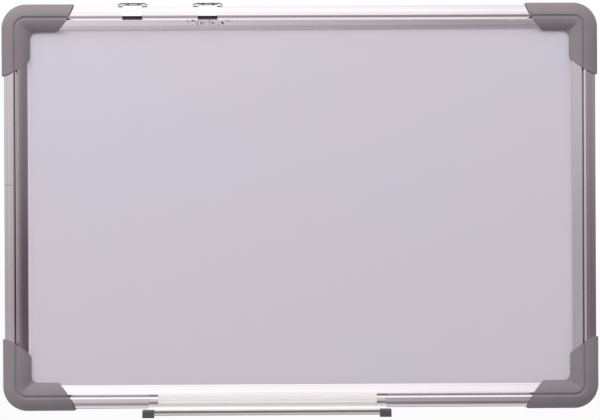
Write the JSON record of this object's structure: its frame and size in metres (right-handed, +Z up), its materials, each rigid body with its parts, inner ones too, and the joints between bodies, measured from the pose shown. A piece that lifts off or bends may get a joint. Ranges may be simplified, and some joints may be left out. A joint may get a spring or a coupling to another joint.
{
  "type": "framed whiteboard",
  "caption": "Dry-wipe board in an aluminium channel frame with moulded corner caps, spring-steel hanging clips that slide on the top rail and a pen tray that slides on the bottom rail.",
  "frame": {"origin": "middle of the frame, on the wall plane that the backs of the corner caps rest against", "axes": "+X to the right along the long side as a reader sees it, +Z up, +Y into the wall; the writing surface faces -Y"},
  "size_m": [0.5028, 0.0467, 0.3456],
  "materials": {
    "writing_surface": "glossy white lacquer",
    "core": "raw fibreboard",
    "backing": "grey coated",
    "frame_aluminium": "satin anodised, drawn lengthwise",
    "corner_plastic": "matt moulded",
    "key_steel": "zinc plated",
    "screw_steel": "zinc plated",
    "clip_steel": "bright plated spring steel",
    "tray_aluminium": "satin anodised, drawn lengthwise",
    "tray_plastic": "matt moulded"
  },
  "bodies": {
    "board": {"writing_sheet": "writing_surface", "board_core": "core", "back_sheet": "backing", "top_rail": "frame_aluminium", "bottom_rail": "frame_aluminium", "left_rail": "frame_aluminium", "right_rail": "frame_aluminium", "corner_cap_top_left": "corner_plastic", "corner_cap_top_right": "corner_plastic", "corner_cap_bottom_left": "corner_plastic", "corner_cap_bottom_right": "corner_plastic", "corner_key_top_left": "key_steel", "corner_key_top_right": "key_steel", "corner_key_bottom_left": "key_steel", "corner_key_bottom_right": "key_steel", "corner_screws": "screw_steel"},
    "left_clip": {"left_hanging_clip": "clip_steel"},
    "right_clip": {"right_hanging_clip": "clip_steel"},
    "tray": {"pen_tray": "tray_aluminium", "tray_end_cap_left": "tray_plastic", "tray_end_cap_right": "tray_plastic"}
  },
  "joints": [
    {"name": "left_clip_slide", "type": "slide", "parent": "board", "child": "left_clip", "axis": [1, 0, 0], "range_m": [-0.035, 0.02]},
    {"name": "right_clip_slide", "type": "slide", "parent": "board", "child": "right_clip", "axis": [1, 0, 0], "range_m": [-0.017, 0.2545]},
    {"name": "tray_slide", "type": "slide", "parent": "board", "child": "tray", "axis": [1, 0, 0], "range_m": [-0.069, 0.126]}
  ]
}
